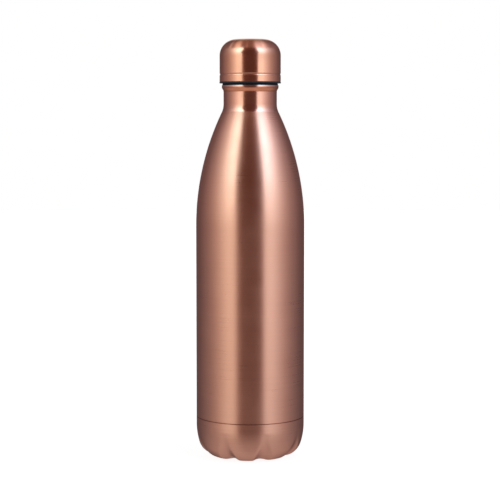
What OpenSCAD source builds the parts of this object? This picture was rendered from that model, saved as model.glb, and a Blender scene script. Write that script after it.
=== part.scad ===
// Double-wall vacuum water bottle with a screw-in plug lid and a petal base.
// Millimetres, +Z up, front towards -Y, origin at the centre of the plane that the feet stand on.

/* [Body] */
// Outer diameter of the body
body_d = 80; // [70:1:100]
// Sheet thickness of the outer shell, the base and the vacuum plate
shell_wall = 0.5; // [0.4:0.1:0.9]
// Height at which the straight wall starts to curve into the shoulder
shoulder_z = 171; // [120:1:240]
// Radius of the shoulder's long curve in side view
shoulder_rad = 193; // [150:1:240]

/* [Neck and lip] */
// Outer diameter of the neck
neck_d = 39.2; // [34:0.2:46]
// Radius of the hollow curve between shoulder and neck
neck_fillet = 14; // [8:1:20]
// Straight length of the neck
neck_h = 8.9; // [6:0.1:20]
// How far the lip stands out beyond the neck
lip_flare = 1.25; // [0.8:0.05:2]
// Radius of the two curves that make the flare under the lip
flare_rad = 3; // [2.5:0.5:8]
// Straight height of the lip under its rim
lip_h = 1.1; // [0.8:0.1:4]
// Rounding of the lip's outer edge
lip_round = 0.6; // [0.5:0.1:1]
// Rounding of the mouth's inner edge
mouth_round = 1; // [0.8:0.1:1.5]

/* [Petal base] */
// Height of the weld seam between shell and base
seam_z = 29.6; // [27:0.1:45]
// Depth of the bevel on each side of the seam
seam_bevel = 0.3; // [0.1:0.05:0.35]
// Number of feet, and of valleys between them
feet = 8; // [5:1:9]
// Turn of the first foot from the front, in degrees
feet_turn = -6; // [-20:1:20]
// Height at which the base starts to draw in
flank_z = 24; // [20:0.5:25]
// Radius of the slow curve on the outside of the base
flank_rad = 48; // [40:0.5:56]
// Radius of the corner under it
corner_rad = 14; // [10:0.5:16]
// Width of the flat under each foot
pad_w = 2.5; // [1:0.1:4]
// Height of the recess inside the ring of feet
recess_h = 6; // [4:0.5:8]
// Radius of both curves between the feet and the recess
recess_rad = 6; // [5:0.5:7]
// Radius of a valley's floor in side view
valley_rad = 22; // [19:0.5:24]
// Height of a valley's lowest point
valley_floor = 0.35; // [0.2:0.05:1]
// Angle at which a valley runs out of the wall, in degrees
valley_exit = 5; // [4:0.5:9]
// Radius of a valley's hollow cross-section
valley_tube = 11; // [8:0.5:13]

/* [Vacuum space] */
// Sheet thickness of the inner bottle
liner_wall = 0.4; // [0.3:0.05:0.5]
// Gap between the two walls along the body
body_gap = 3.1; // [2.5:0.1:5]
// Gap between the two walls along the neck
neck_gap = 1.3; // [1:0.1:1.8]
// Height of the inner bottle's lowest point above the vacuum plate
dish_lift = 5.5; // [5:0.5:12]
// Height of the dish that closes the inner bottle
dish_h = 11; // [9:0.5:20]
// Corner radius of that dish
dish_corner = 6; // [4:0.5:8]
// Radius of its domed middle
dish_dome = 150; // [120:5:220]
// Thickness of the reflecting foil
foil_t = 0.15; // [0.1:0.05:0.3]
// Bare length of the inner bottle at each end of the foil
foil_margin = 6; // [2:0.5:15]

/* [Vacuum plate] */
// How far the plate's web lies below the seam
plate_drop = 4.6; // [4:0.1:6]
// How far its skirt reaches above the seam
plate_rise = 6; // [4:0.5:12]
// Corner radius between web and skirt
plate_corner = 3; // [2:0.5:3.5]
// Diameter of the recess round the pumping port
port_recess_d = 15; // [13:0.5:20]
// Height of that recess
port_recess_h = 1.5; // [1.3:0.1:3]
// Diameter of the pumping port
port_d = 2.5; // [1.5:0.1:4]
// Diameter of the glass bead that closes the port
bead_d = 9; // [6:0.5:10]
// Thickness of the glass bead
bead_t = 1.2; // [0.8:0.1:1.3]

/* [Getter] */
// Distance of the getter from the bottle's axis
getter_r = 20; // [18:0.5:22]
// Diameter of the getter pill
pill_d = 9; // [6:0.5:11]
// Height of the getter pill
pill_h = 3; // [2:0.1:3.5]
// Thickness of the strap over the pill
clip_t = 0.4; // [0.3:0.05:0.6]
// Width of the strap
clip_w = 5; // [3:0.5:6]
// Length of each welded foot of the strap
clip_foot = 3; // [2:0.5:4]
// Clearance between the strap and the pill's side
clip_fit = 0.2; // [0.1:0.05:0.4]

/* [Lid cover] */
// How far the cover stands out beyond the lip
cap_overhang = 1.6; // [1.2:0.1:4]
// Height of the cover
cap_h = 31.2; // [26:0.2:45]
// Sheet thickness of the cover
cap_wall = 0.5; // [0.4:0.1:0.7]
// Radius of the cover's rounded top edge
cap_corner = 12; // [6:0.1:14]
// Radius of the slight crown on its top
cap_crown = 300; // [150:10:500]
// Height of the rolled groove above the cover's lower edge
groove_z = 5.4; // [4:0.1:8]
// Width of the rolled groove
groove_w = 1.6; // [1:0.1:2.4]
// Depth of the rolled groove
groove_depth = 0.3; // [0.2:0.05:0.5]

/* [Lid plug] */
// Thickness of the plug's flange
flange_t = 1.2; // [1.2:0.1:3]
// How far the flange stands out beyond the cover
flange_proud = 0.15; // [0.1:0.05:0.5]
// Rounding of the flange's edge
flange_round = 0.5; // [0.2:0.1:0.55]
// Length of the plug below its flange
plug_len = 18.5; // [16:0.5:19]
// Wall thickness of the plug
plug_wall = 2; // [1.6:0.1:2.6]
// Bevel at the plug's lower end
plug_bevel = 0.6; // [0.2:0.1:0.7]
// Radial room for the screw thread between plug and mouth
thread_room = 1; // [0.8:0.1:1.6]
// Height of the collar inside the cover
collar_h = 12; // [9:0.5:16]
// Wall thickness of the collar
collar_wall = 1.6; // [1.2:0.1:2.4]
// Thickness of the end disc's rim
disc_lip = 1.2; // [0.8:0.1:2]
// Whole thickness of the end disc
disc_t = 3; // [2.2:0.1:5]

/* [Seal] */
// Thickness of the seal ring as it is squeezed
seal_t = 1.05; // [0.8:0.05:2.5]
// How far the seal's edge lies inside the lip's edge
seal_inset = 0.45; // [0.3:0.05:0.9]
// How far the seal's edge bulges
seal_bulge = 0.25; // [0.1:0.05:0.4]
// Clearance between the seal and the plug
seal_fit = 0.3; // [0.2:0.05:0.4]

/* [Hidden] */
$fn = 96;
copper = "#b87a62";
bare_steel = "#b9bbbd";
black = "#1c1b1d";
// Steps in which the curves are drawn
long_steps = 28;
short_steps = 8;

// Radii that several pieces share
body_r = body_d / 2;
neck_r = neck_d / 2;
lip_r = neck_r + lip_flare;
liner_r = body_r - shell_wall - body_gap;
liner_neck_r = neck_r - shell_wall - neck_gap;
bore_r = liner_neck_r - liner_wall;
plug_r = bore_r - thread_room;
plug_in_r = plug_r - plug_wall;
rebate_r = plug_r - plug_wall / 2;
cap_r = lip_r + cap_overhang;
collar_r = cap_r - cap_wall;
collar_in_r = collar_r - collar_wall;
flange_r = cap_r + flange_proud;

// Heights, from the shoulder up
neck_z = shoulder_z + arc_rise(body_r, neck_r, shoulder_rad, neck_fillet);
flare_angle = acos(1 - lip_flare / (2 * flare_rad));
flare_z = neck_z + neck_h;
flare_top_z = flare_z + 2 * flare_rad * sin(flare_angle);
lip_z = flare_top_z + lip_h;
rim_z = lip_z + liner_wall;
flange_z = rim_z + seal_t;
plug_z = flange_z - plug_len;
cap_z = flange_z + flange_t;
cap_top_z = cap_z + cap_h;
crown_z = cap_top_z - cap_crown;
cap_corner_z = crown_z + sqrt((cap_crown - cap_corner) ^ 2 - (cap_r - cap_corner) ^ 2);
crown_angle = asin((cap_r - cap_corner) / (cap_crown - cap_corner));

// Heights, from the seam down and up again inside
plate_z = seam_z - plate_drop;
plate_top_z = plate_z + shell_wall;
dish_z = plate_top_z + dish_lift;
liner_seam_z = dish_z + dish_h;

// Angle of the lip's rounding at which the liner's rim takes over from the shell's edge
rim_angle = asin(max(0, lip_round - liner_wall) / lip_round);

// Base: the ring of flat pads and the valleys between the feet
flank_x = body_r - flank_rad;
pad_out_r = flank_x + sqrt((flank_rad - corner_rad) ^ 2 - (flank_z - corner_rad) ^ 2);
pad_in_r = pad_out_r - pad_w;
corner_angle = atan2(flank_z - corner_rad, pad_out_r - flank_x);
recess_angle = acos(1 - recess_h / (2 * recess_rad));
recess_r = pad_in_r - 2 * recess_rad * sin(recess_angle);
valley_z = valley_floor + valley_rad;
valley_r = body_r - valley_rad * cos(valley_exit);
pitch = 360 / feet;
first_valley = feet_turn + pitch / 2 - 90;

// Groove of the cover, as the arc through its two edges and its deepest point
groove_rad = (groove_w ^ 2 / 4 + groove_depth ^ 2) / (2 * groove_depth);

// Extra length of a cutting shape beyond the face that it cuts
past = 1;

// Points of an arc about [x, z], from angle a to angle b
function arc(x, z, r, a, b, steps) =
  [for (i = [0 : steps]) let (t = a + (b - a) * i / steps) [x + r * cos(t), z + r * sin(t)]];

function reversed(points) = [for (i = [len(points) - 1 : -1 : 0]) points[i]];

// Rise from the start of a shoulder curve to the centre of the neck fillet that is tangent to it
function arc_rise(body, neck, arc_r, fillet_r) =
  sqrt((arc_r + fillet_r) ^ 2 - (neck + fillet_r - body + arc_r) ^ 2);

// Shoulder and neck fillet as two tangent arcs, bottom to top
function shoulder_curve(body, neck, arc_r, fillet_r) =
  let (rise = arc_rise(body, neck, arc_r, fillet_r),
       run = neck + fillet_r - body + arc_r,
       turn = atan2(rise, run))
  concat(arc(body - arc_r, shoulder_z, arc_r, 0, turn, long_steps),
         arc(neck + fillet_r, shoulder_z + rise, fillet_r, 180 + turn, 180, short_steps));

// Flare from the neck to the lip as two equal arcs, at depth d inside the outer face
function flare_curve(d) =
  concat(arc(neck_r + flare_rad, flare_z, flare_rad + d, 180, 180 - flare_angle, short_steps),
         arc(lip_r - flare_rad, flare_top_z, flare_rad - d, -flare_angle, 0, short_steps));

// Side of the outer shell at depth d inside its outer face, from shoulder to lip
function shell_curve(d) =
  concat(shoulder_curve(body_r - d, neck_r - d, shoulder_rad - d, neck_fillet + d), flare_curve(d));

// Side of the inner bottle at depth d inside its vacuum side, from shoulder to neck
function liner_curve(d) =
  let (inset = shell_wall + body_gap + d, neck_inset = shell_wall + neck_gap + d)
  shoulder_curve(body_r - inset, neck_r - neck_inset, shoulder_rad - inset, neck_fillet + neck_inset);

// Base outline at depth d inside its outer face, from the flank to the axis
function base_curve(d) =
  concat(arc(flank_x, flank_z, flank_rad - d, 0, -corner_angle, short_steps),
         arc(pad_out_r, corner_rad, corner_rad - d, -corner_angle, -90, short_steps),
         arc(pad_in_r, recess_rad, recess_rad - d, -90, -90 - recess_angle, short_steps),
         arc(recess_r, recess_h - recess_rad, recess_rad + d, 90 - recess_angle, 90, short_steps),
         [[0, recess_h + d]]);

// Rolled groove at depth d inside the cover's outer face, bottom to top
function groove_curve(d) =
  let (x = cap_r - groove_depth + groove_rad,
       half = acos((groove_rad - groove_depth + d) / (groove_rad + d)))
  arc(x, cap_z + groove_z, groove_rad + d, 180 + half, 180 - half, short_steps);

// Side and top of the cover at depth d inside its outer face, from its lower edge to the axis
function cap_curve(d) =
  concat([[cap_r - d, cap_z]], groove_curve(d),
         arc(cap_r - cap_corner, cap_corner_z, cap_corner - d, 0, 90 - crown_angle, short_steps * 2),
         arc(0, crown_z, cap_crown - d, 90 - crown_angle, 90, short_steps));

// Dish outline at depth d inside its vacuum side, from its upper edge to the axis
function dish_curve(d) =
  let (x = liner_r - dish_corner,
       z = dish_z + dish_corner,
       tilt = asin(x / (dish_dome + dish_corner)),
       dome_z = z - (dish_dome + dish_corner) * cos(tilt))
  concat([[liner_r - d, liner_seam_z]],
         arc(x, z, dish_corner - d, 0, -90 - tilt, short_steps),
         arc(0, dome_z, dish_dome + d, 90 - tilt, 90, short_steps));

module revolve(points) {
  rotate_extrude() polygon(points);
}

// Lid

module cap_cover() {
  color(copper) revolve(concat(cap_curve(0), reversed(cap_curve(cap_wall))));
}

module plug_body() {
  collar_z = cap_z + collar_h;
  edge_low = arc(flange_r - flange_round, flange_z + flange_round, flange_round, -90, 0, short_steps);
  edge_high = arc(flange_r - flange_round, cap_z - flange_round, flange_round, 0, 90, short_steps);
  outside = concat([[rebate_r, plug_z], [plug_r - plug_bevel, plug_z], [plug_r, plug_z + plug_bevel],
    [plug_r, flange_z]], edge_low, edge_high, [[collar_r, cap_z]], groove_curve(cap_wall),
    [[collar_r, collar_z]]);
  inside = [[collar_in_r, collar_z], [collar_in_r, cap_z], [plug_in_r, cap_z],
    [plug_in_r, plug_z + disc_lip], [rebate_r, plug_z + disc_lip]];
  color(black) revolve(concat(outside, inside));
}

module plug_foam() {
  color("#e6dcc0") revolve([[0, plug_z + disc_t], [plug_in_r, plug_z + disc_t], [plug_in_r, cap_z],
    [collar_in_r, cap_z], [collar_in_r, cap_z + collar_h], [0, cap_z + collar_h]]);
}

module plug_disc() {
  color(black) revolve([[0, plug_z], [rebate_r, plug_z], [rebate_r, plug_z + disc_lip],
    [plug_in_r, plug_z + disc_lip], [plug_in_r, plug_z + disc_t], [0, plug_z + disc_t]]);
}

module seal_ring() {
  out_r = lip_r - seal_inset;
  // The bulging edge is the arc through the ring's two edges and its widest point
  bulge_rad = (seal_t ^ 2 / 4 + seal_bulge ^ 2) / (2 * seal_bulge);
  half = asin(seal_t / (2 * bulge_rad));
  edge = arc(out_r - bulge_rad, rim_z + seal_t / 2, bulge_rad, -half, half, short_steps);
  color("#131214") revolve(concat([[plug_r + seal_fit, rim_z]], edge, [[plug_r + seal_fit, flange_z]]));
}

// Bottle

module outer_shell() {
  edge = arc(lip_r - lip_round, rim_z - lip_round, lip_round, 0, rim_angle, short_steps);
  outside = concat([[body_r - seam_bevel, seam_z], [body_r, seam_z + seam_bevel]], shell_curve(0), edge);
  inside = concat([[body_r - shell_wall, seam_z]], shell_curve(shell_wall), [[lip_r - shell_wall, lip_z]]);
  color(copper) revolve(concat(outside, reversed(inside)));
}

// Solid base at depth d inside its outer face, with its top at height z
module base_solid(d, z) {
  difference() {
    revolve(concat([[0, z], [body_r - d, z]], base_curve(d)));
    for (i = [0 : feet - 1])
      rotate([0, 0, first_valley + i * pitch]) valley(valley_tube + d);
  }
}

// Quarter ring that presses one valley into the base, from the wall to the ring of feet
module valley(tube_r) {
  translate([valley_r, 0, valley_z])
    rotate([-90, 0, 0])
      rotate_extrude(angle = 90)
        translate([valley_rad + valley_tube, 0]) circle(tube_r);
}

module base_cup() {
  bevel = [[body_r - seam_bevel, seam_z], [body_r + past, seam_z - seam_bevel - past],
    [body_r + past, seam_z]];
  color(copper) difference() {
    base_solid(0, seam_z);
    base_solid(shell_wall, seam_z + past);
    revolve(bevel);
  }
}

module inner_liner() {
  mouth_x = bore_r + mouth_round;
  mouth_z = rim_z - mouth_round;
  rim_edge = arc(lip_r - lip_round, rim_z - lip_round, lip_round, rim_angle, 90, short_steps);
  vacuum_side = concat([[liner_r, liner_seam_z]], liner_curve(0),
    arc(mouth_x, mouth_z, mouth_round - liner_wall, 180, 90, short_steps));
  water_side = concat([[liner_r - liner_wall, liner_seam_z]], liner_curve(liner_wall),
    arc(mouth_x, mouth_z, mouth_round, 180, 90, short_steps));
  color(bare_steel) revolve(concat(vacuum_side, rim_edge, reversed(water_side)));
}

module liner_dish() {
  color(bare_steel) revolve(concat(dish_curve(0), reversed(dish_curve(liner_wall))));
}

module foil_wrap() {
  low = liner_seam_z + foil_margin;
  high = shoulder_z - foil_margin;
  color("#d7c2a8") revolve([[liner_r, low], [liner_r + foil_t, low], [liner_r + foil_t, high],
    [liner_r, high]]);
}

module vacuum_plate() {
  skirt_r = body_r - shell_wall;
  skirt_z = seam_z + plate_rise;
  corner_x = skirt_r - plate_corner;
  corner_z = plate_z + plate_corner;
  port_r = port_d / 2;
  step_out = port_recess_d / 2;
  step_in = step_out - port_recess_h;
  // Shift of the sheet's upper face at a bend of 45 degrees
  bend = shell_wall * (sqrt(2) - 1);
  under = concat([[skirt_r, skirt_z]], arc(corner_x, corner_z, plate_corner, 0, -90, short_steps),
    [[step_out, plate_z], [step_in, plate_z + port_recess_h], [port_r, plate_z + port_recess_h]]);
  above = concat([[skirt_r - shell_wall, skirt_z]],
    arc(corner_x, corner_z, plate_corner - shell_wall, 0, -90, short_steps),
    [[step_out + bend, plate_top_z], [step_in + bend, plate_top_z + port_recess_h],
     [port_r, plate_top_z + port_recess_h]]);
  color(bare_steel) revolve(concat(under, reversed(above)));
}

module port_bead() {
  top_z = plate_z + port_recess_h;
  // The drop's lower face is the arc through its rim and its lowest point
  drop_rad = (bead_d ^ 2 / 4 + bead_t ^ 2) / (2 * bead_t);
  half = asin(bead_d / (2 * drop_rad));
  drop = arc(0, top_z - bead_t + drop_rad, drop_rad, -90, -90 + half, short_steps);
  stem = [[port_d / 2, top_z], [port_d / 2, top_z + shell_wall], [0, top_z + shell_wall]];
  color("#6f5a4a") revolve(concat(drop, stem));
}

module getter_clip() {
  in_x = pill_d / 2 + clip_fit;
  out_x = in_x + clip_t;
  foot_x = out_x + clip_foot;
  half = [[in_x, 0], [foot_x, 0], [foot_x, clip_t], [out_x, clip_t], [out_x, pill_h + clip_t]];
  mirrored = [for (p = reversed(half)) [-p[0], p[1]]];
  color(bare_steel)
    translate([0, getter_r + clip_w / 2, plate_top_z])
      rotate([90, 0, 0])
        linear_extrude(clip_w) polygon(concat(half, mirrored, [[-in_x, pill_h], [in_x, pill_h]]));
}

module getter_pill() {
  color("#5b5d60") translate([0, getter_r, plate_top_z]) cylinder(d = pill_d, h = pill_h);
}

cap_cover();
plug_body();
plug_foam();
plug_disc();
seal_ring();
outer_shell();
base_cup();
inner_liner();
liner_dish();
foil_wrap();
vacuum_plate();
port_bead();
getter_clip();
getter_pill();
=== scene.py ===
"""Finished pieces of a double-wall water bottle with a copper finish, built round its solid parts.

Everything is in metres, +Z up, with the front towards -Y and the origin under the middle of the feet.
"""

import math

import bpy
import numpy as np
from bpy.props import FloatProperty, FloatVectorProperty, IntProperty, PointerProperty
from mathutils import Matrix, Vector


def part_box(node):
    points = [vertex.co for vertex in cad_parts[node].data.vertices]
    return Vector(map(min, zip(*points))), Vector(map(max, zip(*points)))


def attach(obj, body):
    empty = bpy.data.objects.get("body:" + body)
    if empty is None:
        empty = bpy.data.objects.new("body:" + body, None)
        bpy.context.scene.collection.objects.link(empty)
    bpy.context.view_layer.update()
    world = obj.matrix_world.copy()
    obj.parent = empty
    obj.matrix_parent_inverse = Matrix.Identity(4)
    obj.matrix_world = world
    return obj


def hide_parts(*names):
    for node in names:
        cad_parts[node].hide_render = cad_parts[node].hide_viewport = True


bl_info = {
    "name": "Copper water bottle",
    "version": (1, 0, 0),
    "blender": (4, 5, 0),
    "location": "View3D > Sidebar > Bottle",
    "description": "Builds the finished pieces of a double-wall water bottle and a plain studio for it",
    "category": "Add Mesh",
}

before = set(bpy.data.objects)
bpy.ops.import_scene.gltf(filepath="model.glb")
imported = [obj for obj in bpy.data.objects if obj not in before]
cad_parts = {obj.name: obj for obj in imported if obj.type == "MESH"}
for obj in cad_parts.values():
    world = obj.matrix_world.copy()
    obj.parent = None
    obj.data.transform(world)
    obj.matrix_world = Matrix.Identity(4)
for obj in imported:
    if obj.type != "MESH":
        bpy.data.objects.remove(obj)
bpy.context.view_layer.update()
MM = 0.001

# Places that the packed parts give
BODY_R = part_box("outer_shell")[1].x
SEAM_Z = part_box("outer_shell")[0].z
RIM_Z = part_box("inner_liner")[1].z
LINER_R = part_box("inner_liner")[1].x
LINER_SEAM_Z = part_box("inner_liner")[0].z
SEAL_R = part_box("seal_ring")[1].x
FLANGE_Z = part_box("seal_ring")[1].z
FLANGE_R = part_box("plug_body")[1].x
PLUG_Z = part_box("plug_body")[0].z
COLLAR_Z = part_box("plug_body")[1].z
CAP_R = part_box("cap_cover")[1].x
CAP_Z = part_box("cap_cover")[0].z
CAP_TOP_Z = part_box("cap_cover")[1].z
REBATE_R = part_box("plug_disc")[1].x


# Sizes, colours and qualities that a user can change


def length(name, description, default):
    """A size in metres."""
    return FloatProperty(name=name, description=description, default=default, min=0.0,
                         subtype="DISTANCE", unit="LENGTH", precision=5)


def angle(name, description, degrees):
    """An angle, given here in degrees."""
    return FloatProperty(name=name, description=description, default=math.radians(degrees),
                         subtype="ANGLE")


def share(name, description, default):
    """A number from 0 to 1."""
    return FloatProperty(name=name, description=description, default=default,
                         min=0.0, max=1.0, subtype="FACTOR")


def number(name, description, default, **settings):
    """A number of any other kind."""
    return FloatProperty(name=name, description=description, default=default, **settings)


def colour(name, description, default):
    """A linear colour."""
    return FloatVectorProperty(name=name, description=description, default=default, size=3,
                               min=0.0, max=1.0, subtype="COLOR")


class ShellSizes(bpy.types.PropertyGroup):
    """Sizes of the outer shell, from the weld seam to the lip."""

    wall: length("Sheet", "Thickness of the outer sheet", 0.5 * MM)
    bevel: length("Seam bevel", "Depth of the bevel on each side of the weld seam", 0.3 * MM)
    shoulder_z: length("Shoulder height", "Height at which the straight wall starts to curve in",
                       171 * MM)
    shoulder_rad: length("Shoulder radius", "Radius of the shoulder's long curve", 193 * MM)
    neck_r: length("Neck", "Outer radius of the neck", 19.6 * MM)
    neck_fillet: length("Neck fillet", "Radius of the hollow curve between shoulder and neck", 14 * MM)
    lip_r: length("Lip", "Outer radius of the lip", 20.85 * MM)
    lip_h: length("Lip height", "Straight height of the lip", 1.1 * MM)
    lip_round: length("Lip edge", "Rounding of the lip's outer edge", 0.6 * MM)
    flare_rad: length("Flare", "Radius of the two curves under the lip", 3 * MM)


class LinerSizes(bpy.types.PropertyGroup):
    """Sizes of the inner bottle."""

    wall: length("Sheet", "Thickness of the inner sheet", 0.4 * MM)
    neck_r: length("Neck", "Outer radius of the inner bottle's neck", 17.8 * MM)
    mouth_round: length("Mouth edge", "Rounding of the mouth's inner edge", 1 * MM)


class BaseSizes(bpy.types.PropertyGroup):
    """Sizes of the pressed base with its ring of feet."""

    feet: IntProperty(name="Feet", description="Number of feet and of valleys", default=8, min=5, max=9)
    turn: angle("Turn", "Turn of the first foot from the front", -6)
    flank_z: length("Flank height", "Height at which the base starts to draw in", 24 * MM)
    flank_rad: length("Flank", "Radius of the slow curve on the outside", 48 * MM)
    corner_rad: length("Corner", "Radius of the corner under it", 14 * MM)
    pad_w: length("Pad", "Width of the flat under each foot", 2.5 * MM)
    recess_h: length("Recess", "Height of the recess inside the ring of feet", 6 * MM)
    recess_rad: length("Recess curves", "Radius of both curves into the recess", 6 * MM)
    valley_rad: length("Valley", "Radius of a valley's floor in side view", 22 * MM)
    valley_floor: length("Valley floor", "Height of a valley's lowest point", 0.35 * MM)
    valley_exit: angle("Valley exit", "Angle at which a valley runs out of the wall", 5)
    valley_tube: length("Valley section", "Radius of a valley's hollow cross-section", 11 * MM)
    crease: length("Crease", "Softness of the folds along a valley", 0.4 * MM)


class LidSizes(bpy.types.PropertyGroup):
    """Sizes of the lid's cover, plug and seal."""

    cover_wall: length("Cover sheet", "Thickness of the cover", 0.5 * MM)
    cover_edge: length("Cover edge", "Rounding of the cover's lower edge", 0.15 * MM)
    corner_rad: length("Top edge", "Radius of the cover's rounded top edge", 12 * MM)
    crown_rad: length("Crown", "Radius of the slight crown on top", 300 * MM)
    groove_z: length("Groove height", "Height of the rolled groove above the cover's lower edge",
                     5.4 * MM)
    groove_w: length("Groove width", "Width of the rolled groove", 1.6 * MM)
    groove_depth: length("Groove depth", "Depth of the rolled groove", 0.3 * MM)
    flange_round: length("Flange edge", "Rounding of the flange", 0.5 * MM)
    plug_wall: length("Plug wall", "Thickness of the plug's wall", 2 * MM)
    plug_bevel: length("Plug bevel", "Bevel at the plug's lower end", 0.6 * MM)
    collar_wall: length("Collar wall", "Thickness of the collar inside the cover", 1.6 * MM)
    disc_lip: length("Disc rim", "Thickness of the end disc's rim", 1.2 * MM)
    seal_fit: length("Seal fit", "Clearance between seal and plug", 0.3 * MM)
    seal_bulge: length("Seal bulge", "How far the seal's edge bulges", 0.25 * MM)


class ThreadSizes(bpy.types.PropertyGroup):
    """Sizes of the screw thread between plug and mouth."""

    lead: length("Lead", "Rise of the thread in one turn", 5 * MM)
    depth: length("Depth", "Height of a ridge", 0.75 * MM)
    root: length("Root", "Width of a ridge at its foot", 2.2 * MM)
    crest: length("Crest", "Width of a ridge at its top", 0.7 * MM)
    gap: length("Gap", "Room between a ridge and the wall that it faces", 0.25 * MM)
    plug_start: length("Plug start", "Height of the plug's ridge above the plug's end", 2.6 * MM)
    plug_turns: number("Plug turns", "Turns of the plug's ridge", 2.3)
    mouth_turns: number("Mouth turns", "Turns of the mouth's ridge", 1.8)
    run_out: number("Run out", "Part of a turn in which a ridge fades", 0.2)


class Finishes(bpy.types.PropertyGroup):
    """Colours and surface qualities."""

    copper: colour("Polished copper", "Colour of the lid's polished finish", (0.90, 0.48, 0.325))
    neck_copper: colour("Neck copper", "Colour of the neck's polished finish", (0.92, 0.505, 0.37))
    pale_copper: colour("Brushed copper", "Colour of the brushed finish", (0.928, 0.515, 0.367))
    dark_copper: colour("Brush marks", "Colour of the brushed finish in its marks",
                        (0.882, 0.485, 0.343))
    seam: colour("Seam", "Colour of the weld seam's groove", (0.48, 0.23, 0.16))
    # The colour under the lip below is a painted orange reflection of the bright shoulder, which the
    # concave curve there mirrors.
    painted_reflection: colour("Hollow", "Colour under the lip, where the finish gathers", (1.0, 0.44, 0.25))
    glancing: colour("Glancing tint", "Tint of the copper's reflections at a glancing angle",
                     (0.93, 0.74, 0.67))
    polish: share("Polish", "Roughness of the polished copper", 0.205)
    brushed: share("Brushing", "Roughness of the brushed copper", 0.31)
    grain: share("Grain", "How much the brushing stretches reflections", 0.7)
    bare_rim: colour("Bare rim", "Colour of the lip's edge, where the copper finish ends",
                     (0.80, 0.76, 0.74))
    finish_z: length("Finish line", "Height at which brushing gives way to polish", 255.3 * MM)
    painted_reflection_z: length("Hollow height", "Height of the hollow under the lip", 271.2 * MM)
    steel: colour("Steel", "Colour of the bare steel", (0.55, 0.55, 0.56))
    plastic: colour("Plastic", "Colour of the plug", (0.012, 0.012, 0.014))
    silicone: colour("Silicone", "Colour of the seal", (0.008, 0.008, 0.010))
    foam: colour("Foam", "Colour of the insulating foam", (0.75, 0.67, 0.46))
    foil: colour("Foil", "Colour of the reflecting foil", (0.80, 0.78, 0.74))
    glass: colour("Solder glass", "Colour of the bead on the pumping port", (0.13, 0.08, 0.05))
    getter: colour("Getter", "Colour of the getter pill", (0.10, 0.10, 0.11))


class StudioSettings(bpy.types.PropertyGroup):
    """Camera, floor and light."""

    lens: number("Lens", "Focal length in millimetres", 115.8, unit="CAMERA")
    camera_y: length("Distance", "Distance of the camera in front of the bottle", 1187 * MM)
    camera_z: length("Height", "Height of the camera above the floor", 255 * MM)
    tilt: angle("Tilt", "Angle by which the camera looks down", 4.91)
    shift: number("Shift", "Sideways shift of the picture", -0.0004, precision=5)
    floor_r: length("Floor", "Radius of the floor", 3000 * MM)
    # Within this radius the floor's glow is lowered, which paints a pool of shade round the bottle
    # besides its real shadow.
    pool_r: length("Pool", "Radius round the bottle in which the floor shows its shadow", 400 * MM)
    panel: number("Panels", "Brightness of the side panels at their brightest", 2.8)


PROPERTY_GROUPS = {
    "bottle_shell": ShellSizes,
    "bottle_liner": LinerSizes,
    "bottle_base": BaseSizes,
    "bottle_lid": LidSizes,
    "bottle_thread": ThreadSizes,
    "bottle_finishes": Finishes,
    "bottle_studio": StudioSettings,
}


# Outlines, as arrays of points [radius, height]

# Directions on an outline, as angles
OUT = 0.0
UP = math.pi / 2
IN = math.pi
DOWN = -math.pi / 2
# Points that lie closer than this are one point
TOUCHING = 1e-7
# Distance of the points along a threaded wall, close enough for a smooth ridge
THREAD_STEP = 0.12 * MM
# Length of the neck, down from the mouth's edge, that has points so close
THREADED_RUN = 20 * MM


def arc(x, z, r, start, end, steps):
    """Points on a circle about (x, z), from one angle to another in radians."""
    t = np.linspace(start, end, steps + 1)
    return np.stack([x + r * np.cos(t), z + r * np.sin(t)], axis=1)


def dense(points, step):
    """The same outline with extra points, so that no two neighbours lie further apart than step.

    Each gap is cut into equal parts. A place counts the gaps before it and the share of its own."""
    gaps = np.linalg.norm(np.diff(points, axis=0), axis=1)
    counts = np.maximum(1, np.ceil(gaps / step).astype(int))
    gap = np.repeat(np.arange(len(counts)), counts)
    part = np.arange(counts.sum()) - (np.cumsum(counts) - counts)[gap]
    place = np.append(gap + part / counts[gap], len(counts))
    corner = np.arange(len(points))
    return np.stack([np.interp(place, corner, points[:, k]) for k in (0, 1)], axis=1)


def joined(*runs):
    """Several runs of points as one outline, without repeated points."""
    points = np.concatenate([np.reshape(run, (-1, 2)) for run in runs])
    apart = np.linalg.norm(np.diff(points, axis=0), axis=1) > TOUCHING
    return points[np.concatenate([[True], apart])]


def shoulder_curve(body, neck, start_z, arc_r, fillet_r, steps):
    """Shoulder and neck fillet: an arc that bulges and a smaller one that hollows, tangent to it."""
    run = neck + fillet_r - body + arc_r
    rise = math.sqrt((arc_r + fillet_r) ** 2 - run ** 2)
    turn = math.atan2(rise, run)
    return joined(arc(body - arc_r, start_z, arc_r, OUT, turn, 2 * steps),
                  arc(neck + fillet_r, start_z + rise, fillet_r, IN + turn, IN, steps))


def shell_curve(shell, liner, depth, steps):
    """Side of the outer shell at a depth inside its outer face, from shoulder to lip.

    The flare under the lip is two equal arcs that turn opposite ways."""
    flare = shell.flare_rad
    flare_turn = math.acos(1 - (shell.lip_r - shell.neck_r) / (2 * flare))
    top_z = RIM_Z - liner.wall - shell.lip_h
    low_z = top_z - 2 * flare * math.sin(flare_turn)
    low = arc(shell.neck_r + flare, low_z, flare + depth, IN, IN - flare_turn, steps)
    high = arc(shell.lip_r - flare, top_z, flare - depth, -flare_turn, OUT, steps)
    shoulder = shoulder_curve(BODY_R - depth, shell.neck_r - depth, shell.shoulder_z,
                              shell.shoulder_rad - depth, shell.neck_fillet + depth, 2 * steps)
    return joined(shoulder, low, high)


def rim_turn(shell, liner):
    """Angle on the lip's rounding at which the inner bottle's rim takes over from the outer shell."""
    return math.asin(max(0.0, shell.lip_round - liner.wall) / shell.lip_round)


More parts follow.
